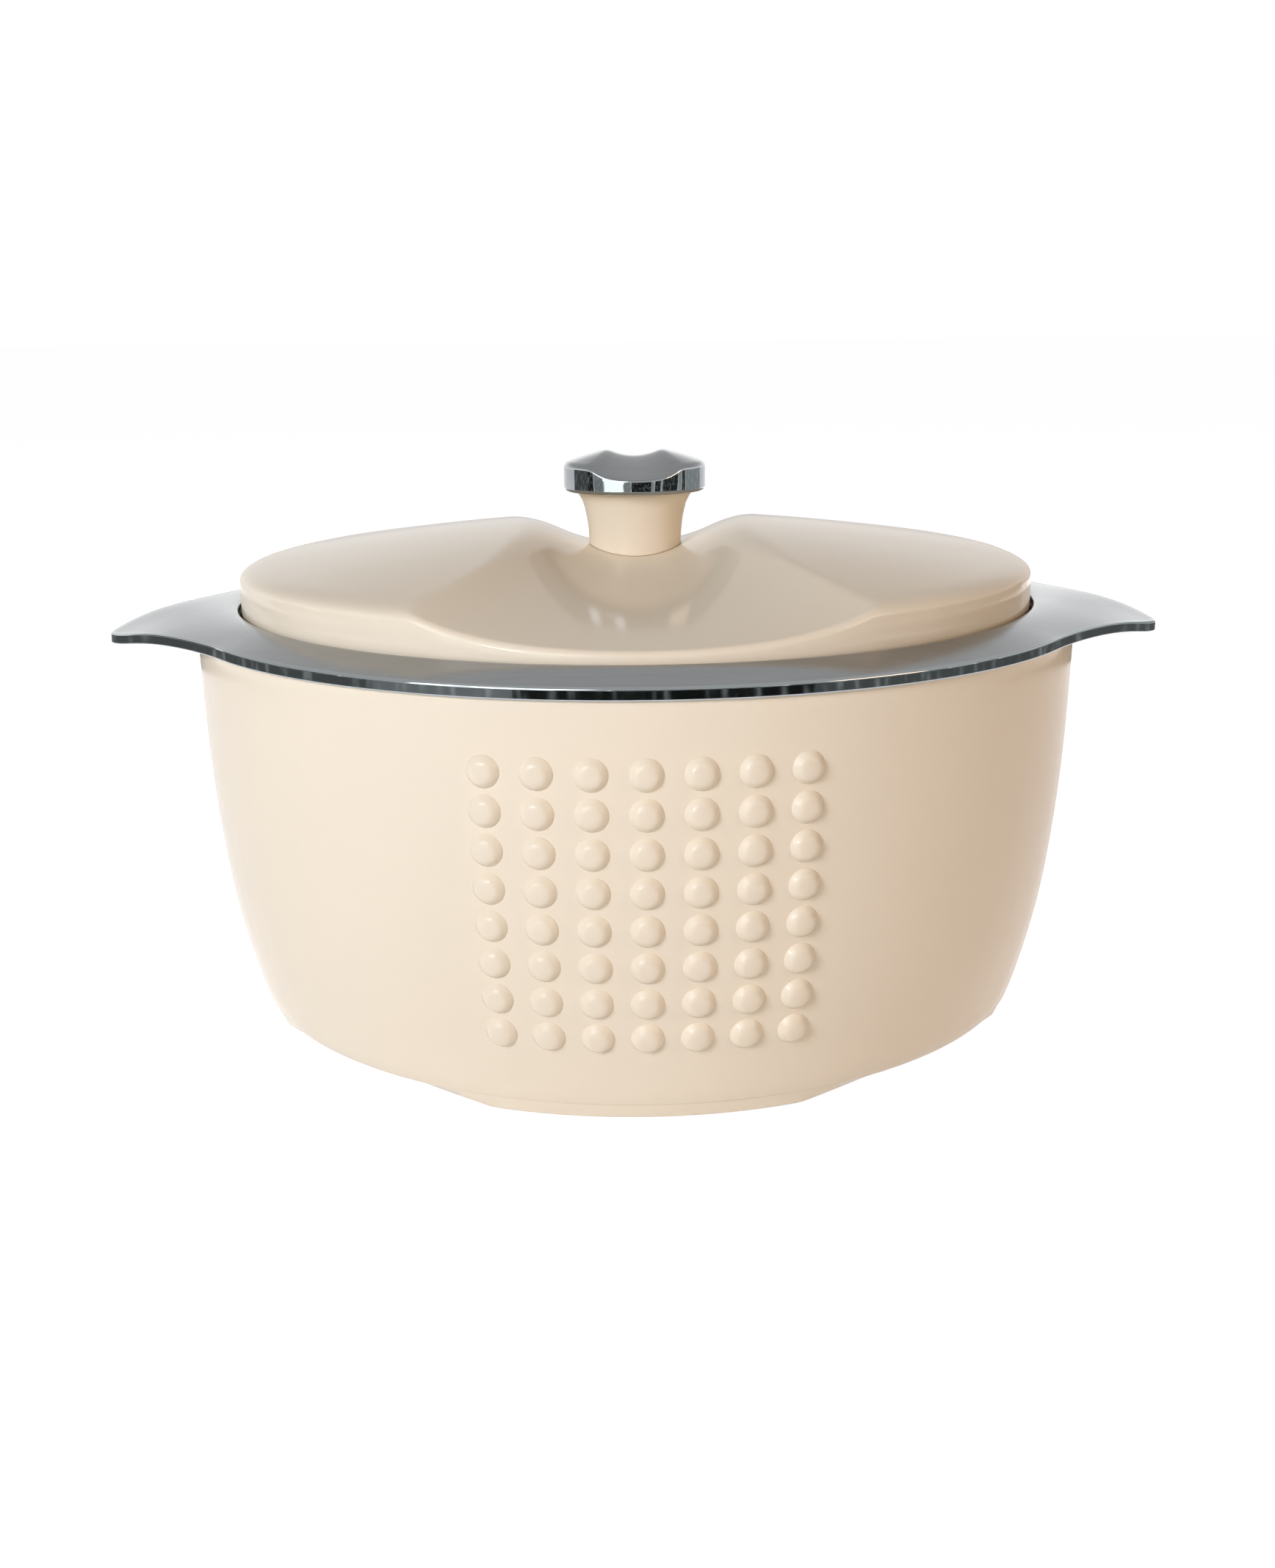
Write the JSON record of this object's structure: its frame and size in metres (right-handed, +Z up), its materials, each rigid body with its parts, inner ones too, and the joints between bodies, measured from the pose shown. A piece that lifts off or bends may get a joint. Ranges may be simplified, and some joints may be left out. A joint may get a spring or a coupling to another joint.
{
  "type": "insulated serving casserole",
  "caption": "Round insulated serving pot for flat breads, with a lift-off domed lid, a centre knob, a metallised rim plate with wing handles and a steel inner bowl.",
  "frame": {"origin": "on the table, under the middle of the pot", "axes": "+Z up; +X and -X towards the wing handles; -Y towards the front, where the field of dots and the open end of the lid's valley face the viewer"},
  "size_m": [0.332, 0.274, 0.17],
  "materials": {
    "cream_plastic": "glossy moulded",
    "metallised_plastic": "satin top, polished edge",
    "stainless_steel": "spun and brushed",
    "screw_steel": "zinc plated",
    "insulating_foam": "closed-cell foam",
    "grey_plastic": "matt moulded",
    "dark_rubber": "matt",
    "pale_silicone": "matt translucent",
    "brass_insert": "machined"
  },
  "bodies": {
    "base": {"outer_shell": "cream_plastic", "rim_plate": "metallised_plastic", "rim_screws": "screw_steel", "inner_bowl": "stainless_steel", "bowl_collar": "cream_plastic", "body_foam": "insulating_foam", "base_plate": "cream_plastic", "base_screws": "screw_steel", "filler_plug": "grey_plastic", "foot_pad_front": "dark_rubber", "foot_pad_right": "dark_rubber", "foot_pad_back": "dark_rubber", "foot_pad_left": "dark_rubber"},
    "lid": {"lid_shell": "cream_plastic", "lid_foam": "insulating_foam", "lid_liner": "stainless_steel", "lid_ring": "cream_plastic", "lid_gasket": "pale_silicone", "knob_stem": "cream_plastic", "knob_cap": "metallised_plastic", "knob_insert": "brass_insert", "knob_washer": "screw_steel", "knob_screw": "screw_steel"}
  },
  "joints": [
    {"name": "lid_lift", "type": "slide", "parent": "base", "child": "lid", "axis": [0, 0, 1], "range_m": [0, 0.15]}
  ]
}
